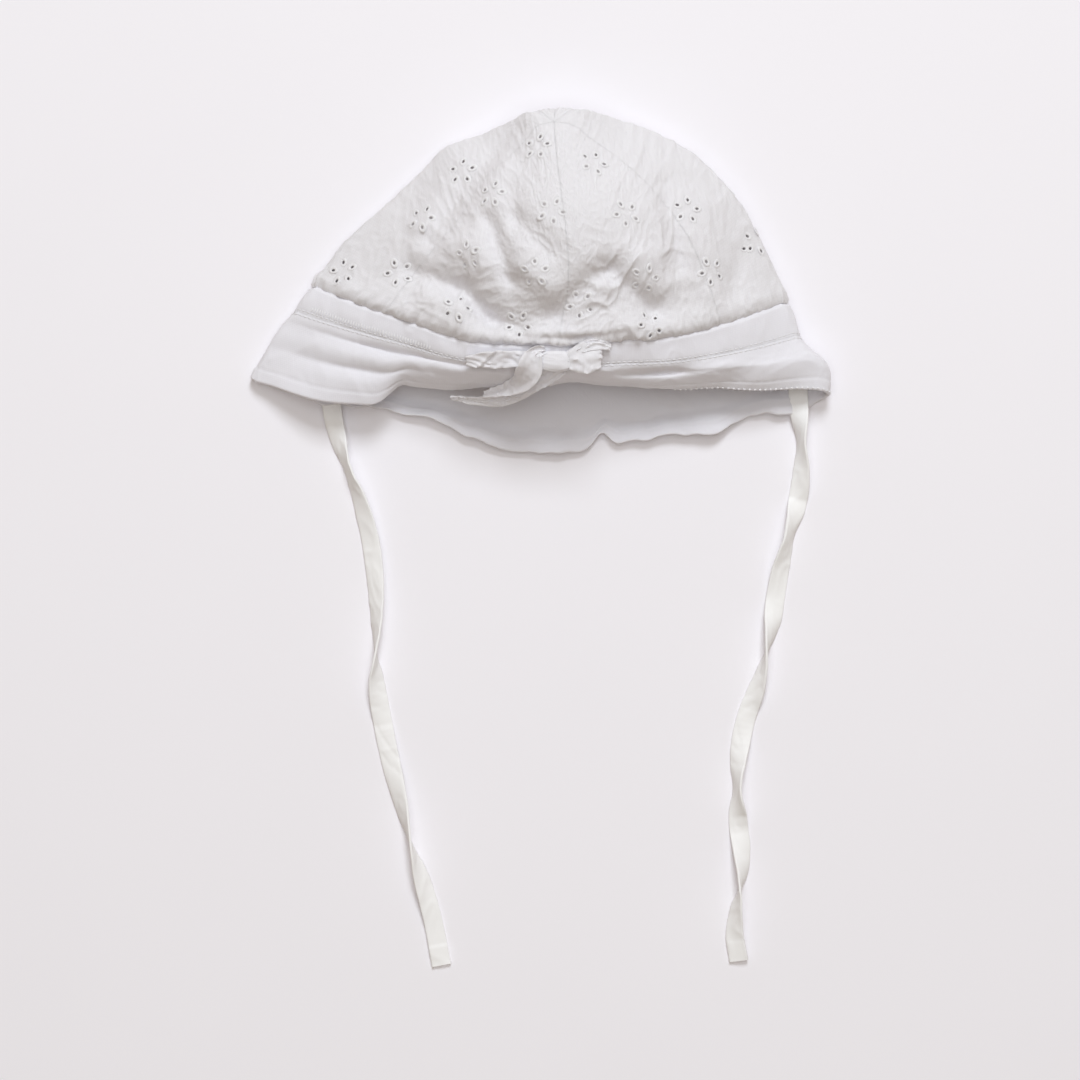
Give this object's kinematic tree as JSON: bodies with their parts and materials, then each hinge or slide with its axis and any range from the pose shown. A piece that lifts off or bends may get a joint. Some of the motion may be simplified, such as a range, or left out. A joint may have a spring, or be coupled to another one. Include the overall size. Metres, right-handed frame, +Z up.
{
  "type": "baby sun hat",
  "caption": "Baby's white cotton sun hat lying on its back: gored crown with eyelet flowers, plain band with a small bow, wavy brim and long flat ties.",
  "frame": {"origin": "on the surface that the hat lies on, below the middle of the hat without its ties", "axes": "+X across the hat to the viewer's right, +Y from the opening to the top of the crown, +Z up from the surface"},
  "size_m": [0.2476, 0.3671, 0.0521],
  "materials": {
    "eyelet_cotton": "matt embroidered cotton",
    "plain_cotton": "matt plain-weave cotton",
    "tie_cotton": "matt plain-weave cotton"
  },
  "bodies": {
    "root": {"crown_front_left": "eyelet_cotton", "crown_front_right": "eyelet_cotton", "crown_side_left": "eyelet_cotton", "crown_side_right": "eyelet_cotton", "crown_back_left": "eyelet_cotton", "crown_back_right": "eyelet_cotton", "band": "plain_cotton", "brim": "plain_cotton", "bow_knot": "tie_cotton", "bow_loop_left": "tie_cotton", "bow_loop_right": "tie_cotton", "bow_tail_upper": "tie_cotton", "bow_tail_lower": "tie_cotton", "tie_left": "tie_cotton", "tie_right": "tie_cotton"}
  },
  "joints": []
}
